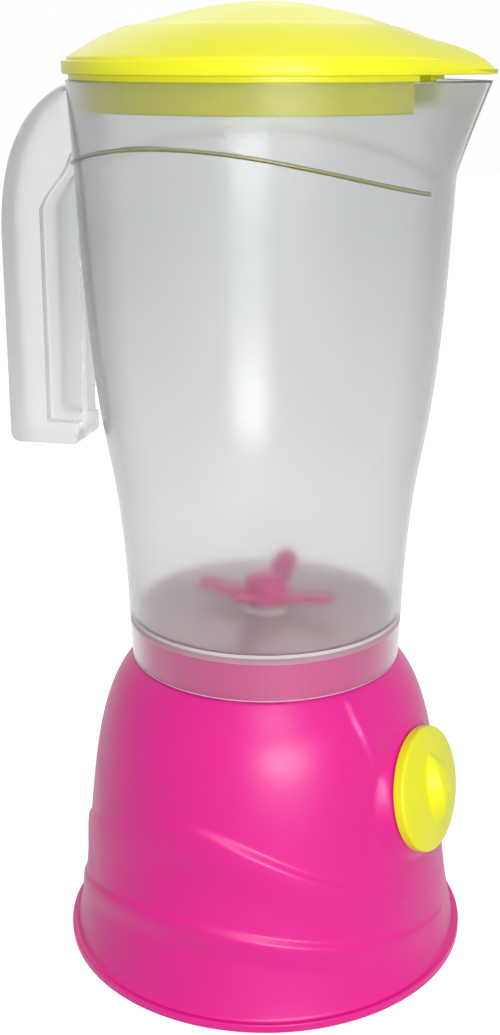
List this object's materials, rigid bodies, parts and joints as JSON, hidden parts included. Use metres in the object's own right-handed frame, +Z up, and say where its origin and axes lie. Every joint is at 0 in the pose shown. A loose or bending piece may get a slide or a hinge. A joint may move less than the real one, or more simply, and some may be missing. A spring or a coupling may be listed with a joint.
{
  "type": "toy blender",
  "caption": "Toy blender: a flared housing with a turning dial that spins an agitator through bevel gears, a clear lift-off jar with spout and handle, and a domed lid.",
  "frame": {"origin": "centre of the flat face that the toy stands on, on the axis of the housing and jar", "axes": "+Z up along the axis of the housing and jar, +X towards the jar's spout, -X towards its handle"},
  "size_m": [0.1342, 0.1202, 0.2698],
  "materials": {
    "pink_plastic": "glossy moulded plastic, vivid pink",
    "yellow_plastic": "glossy moulded plastic, lemon yellow",
    "clear_plastic": "clear moulded plastic with a grey tint",
    "white_plastic": "natural white plastic, satin",
    "steel": "plain zinc-coated steel"
  },
  "bodies": {
    "base": {"base_shell": "pink_plastic", "base_floor": "pink_plastic", "floor_screws": "steel", "gear_bracket": "white_plastic", "bracket_screws": "steel", "deck_bush": "white_plastic"},
    "dial": {"knob_dial": "yellow_plastic", "bevel_wheel": "white_plastic", "wheel_washer": "steel", "wheel_screw": "steel"},
    "spindle": {"drive_spindle": "steel", "bevel_pinion": "white_plastic", "spindle_clip": "steel", "drive_dog": "white_plastic"},
    "jar": {"jar": "clear_plastic", "jar_bush": "white_plastic"},
    "agitator": {"driven_dog": "pink_plastic", "agitator_shaft": "steel", "agitator": "pink_plastic"},
    "lid": {"lid": "yellow_plastic"}
  },
  "joints": [
    {"name": "dial_turn", "type": "hinge", "parent": "base", "child": "dial", "pos_m": [0, 0, 0.04671], "axis": [0.9376, -0.2867, 0.1968], "continuous": true},
    {"name": "spindle_turn", "type": "hinge", "parent": "base", "child": "spindle", "pos_m": [0, 0, 0.0934], "axis": [0, 0, 1], "continuous": true},
    {"name": "jar_lift", "type": "slide", "parent": "base", "child": "jar", "axis": [0, 0, 1], "range_m": [0, 0.12]},
    {"name": "agitator_turn", "type": "hinge", "parent": "jar", "child": "agitator", "pos_m": [0, 0, 0.1], "axis": [0, 0, 1], "continuous": true},
    {"name": "lid_lift", "type": "slide", "parent": "jar", "child": "lid", "axis": [0, 0, 1], "range_m": [0, 0.06]}
  ],
  "couplings": [
    {"joint": "spindle_turn", "follows": "dial_turn", "ratio": -2},
    {"joint": "agitator_turn", "follows": "dial_turn", "ratio": -2}
  ]
}
